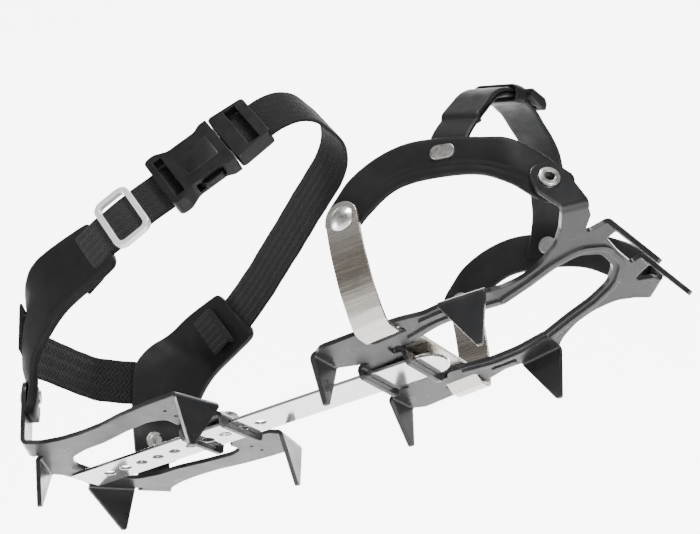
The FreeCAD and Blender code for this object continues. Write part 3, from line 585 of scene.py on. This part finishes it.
def extender_bar():
    """The spring with its holes, drawn as one piece in place of the CAD halves that ride on the two bodies.
    """
    curve = bpy.data.curves.new("extender_bar", "CURVE")
    curve.dimensions = "2D"
    curve.fill_mode = "BOTH"
    curve.extrude = (BAR_THICK / 2 - BAR_EDGE) * MM
    curve.bevel_depth = BAR_EDGE * MM
    outline = smooth_line([(0, BAR_REAR), (BAR_HALF, BAR_REAR, 0.6), (BAR_HALF, BAR_FRONT, 8.5),
                           (-BAR_HALF, BAR_FRONT, 8.5), (-BAR_HALF, BAR_REAR, 0.6), (0, BAR_REAR)], 2.0)
    closed_spline(curve, outline[:-1])
    for i in range(HOLE_COUNT):
        centre = FIRST_HOLE + i * HOLE_PITCH
        angles = [2 * math.pi * k / HOLE_STEPS for k in range(HOLE_STEPS)]
        circle = [(HOLE_RADIUS * math.cos(a), centre + HOLE_RADIUS * math.sin(a)) for a in angles]
        closed_spline(curve, circle)
    drawn = add_object("drawn_bar", curve)
    mesh = bpy.data.meshes.new_from_object(drawn)
    bpy.data.objects.remove(drawn)
    mesh.transform(Matrix.Translation((0, BRIDGE_Y * MM, BAR_Z * MM)))
    mesh.materials.clear()
    mesh.materials.append(MIRROR_STEEL)
    bar = add_object("extender_bar", mesh)
    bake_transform(bar)
    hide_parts("extender_bar_front", "extender_bar_rear")


extender_bar()


# --- Small moulded details -------------------------------------------------------------
PANEL_SIZE = (17.0, 1.2, 15.0)           # along the strap, outward, across it
PANEL_ROUNDING = 0.55
PANEL_ALONG = 25.0                       # its middle, from the buckle's zero
PANEL_OUTWARD = 5.5                      # and from the webbing's middle


def buckle_panel():
    """Raised panel on the outer face of the buckle's socket."""
    direction = (Vector(BUCKLE_FRONT) - Vector(BUCKLE_REAR[:2])).normalized()
    outside = Vector((direction.y, -direction.x))
    spot = Vector(along_buckle(PANEL_ALONG)) + outside * PANEL_OUTWARD
    basis = Matrix(((direction.x, outside.x, 0), (direction.y, outside.y, 0), (0, 0, -1))).to_4x4()
    place = ON_ANKLE @ Matrix.Translation((spot.x, spot.y, ANKLE_LEVEL)) @ basis
    mesh = bpy.data.meshes.new("buckle_panel")
    bm = bmesh.new()
    bmesh.ops.create_cube(bm, size=1.0)
    bmesh.ops.scale(bm, vec=Vector(PANEL_SIZE) * MM, verts=bm.verts)
    bmesh.ops.bevel(bm, geom=bm.edges, offset=PANEL_ROUNDING * MM, segments=4, profile=0.5,
                    affect="EDGES")
    bm.transform(METRES @ place @ METRES.inverted())
    for face in bm.faces:
        face.smooth = True
    bm.to_mesh(mesh)
    bm.free()
    mesh.materials.append(PLASTIC)
    piece = add_object("buckle_panel", mesh)
    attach(piece, "heel_section")


buckle_panel()

KEEPER_PLACE = (17.0, 108.3, TOE_STRAP_LEVEL)
KEEPER_TURN = math.radians(-18.9)        # slope of the strap at the keeper
TOE_KEEPER = ON_TOE_STRAP @ Matrix.Translation(KEEPER_PLACE) @ Matrix.Rotation(KEEPER_TURN, 4, "Z")


def keeper_loop():
    """Rubber loop round both layers of the toe strap."""
    loop = smooth_line([(0, -2.0), (9.6, -2.0, 1.4), (9.6, 4.2, 2.2), (-9.6, 4.2, 2.2), (-9.6, -2.0, 1.4),
                        (0, -2.0)], 0.6)
    side = normals(loop)
    section = [(-4.0, 0.0), (-3.6, 0.6), (-1.0, 0.75), (1.0, 0.75), (3.6, 0.6), (4.0, 0.0),
               (3.6, -0.5), (-3.6, -0.5)]
    rings = []
    uvs = []
    for point, normal in zip(loop, side):
        ring = []
        for along, out in section:
            spot = point - normal * out
            ring.append(METRES @ TOE_KEEPER @ Vector((along, spot.y, spot.x)))
        rings.append(ring)
        uvs.append([(point.x * MM, along * MM) for along, _ in section])
    make("toe_keeper_loop", rings, uvs, ELASTOMER, "toe_section", ("toe_keeper",), closed_ends=False)


keeper_loop()


# --- Stage ------------------------------------------------------------------------------
FLOOR_Z = -0.42              # the crampon hangs above the floor, in metres
FLOOR_HALF = 15.0
floor_mesh = bpy.data.meshes.new("floor")
bm = bmesh.new()
bmesh.ops.create_grid(bm, x_segments=1, y_segments=1, size=FLOOR_HALF)
bm.transform(Matrix.Translation((0, 0, FLOOR_Z)))
bm.to_mesh(floor_mesh)
bm.free()
floor_mesh.materials.append(Shader("floor", (0.86, 0.86, 0.86), 0.9).material)
add_object("floor", floor_mesh)

WHITE = (1.0, 1.0, 1.0, 1.0)
world = bpy.data.worlds.new("studio")
bpy.context.scene.world = world
world.use_nodes = True
background = world.node_tree.nodes["Background"]
background.inputs["Color"].default_value = WHITE
background.inputs["Strength"].default_value = 0.3


def glowing_sheet(name, place, target, size, strength):
    """White studio paper lit from behind, facing the target."""
    mesh = bpy.data.meshes.new(name)
    sheet = bmesh.new()
    bmesh.ops.create_grid(sheet, x_segments=1, y_segments=1, size=size / 2)
    turn = (Vector(target) - Vector(place)).to_track_quat("Z", "Y").to_matrix().to_4x4()
    sheet.transform(Matrix.Translation(place) @ turn)
    sheet.to_mesh(mesh)
    sheet.free()
    paper = Shader(name, WHITE[:3], 1.0)
    paper.bsdf.inputs["Emission Color"].default_value = WHITE
    paper.bsdf.inputs["Emission Strength"].default_value = strength
    mesh.materials.append(paper.material)
    add_object(name, mesh)


glowing_sheet("backdrop", (-2.3, -1.3, 1.45), (0, 0, 0.05), 5.0, 6.0)


def soft_light(name, place, target, size, power):
    """Round area light that faces the target; size in metres, power in watts."""
    data = bpy.data.lights.new(name, "AREA")
    data.shape = "DISK"
    data.size = size
    data.energy = power
    light = bpy.data.objects.new(name, data)
    light.location = place
    light.rotation_euler = (Vector(target) - Vector(place)).to_track_quat("-Z", "Y").to_euler()
    bpy.context.collection.objects.link(light)


soft_light("key", (0.7, 0.5, 1.1), (0, 0, 0.05), 0.4, 26.0)
soft_light("under", (0.35, 0.6, -0.36), (0, 0.05, 0.02), 0.3, 6.0)
soft_light("side", (0.6, -0.9, 0.0), (0, -0.05, 0.05), 0.4, 9.0)

CAMERA_PLACE = (0.4184, 0.2485, -0.179)          # metres
CAMERA_TURN = (118.05, 5.79, 122.32)             # degrees
camera_data = bpy.data.cameras.new("camera")
camera_data.lens = 63.78
camera_data.sensor_width = 36.0
camera_data.clip_start = 0.01
camera = bpy.data.objects.new("camera", camera_data)
camera.location = CAMERA_PLACE
camera.rotation_euler = [math.radians(angle) for angle in CAMERA_TURN]
bpy.context.collection.objects.link(camera)
bpy.context.scene.camera = camera
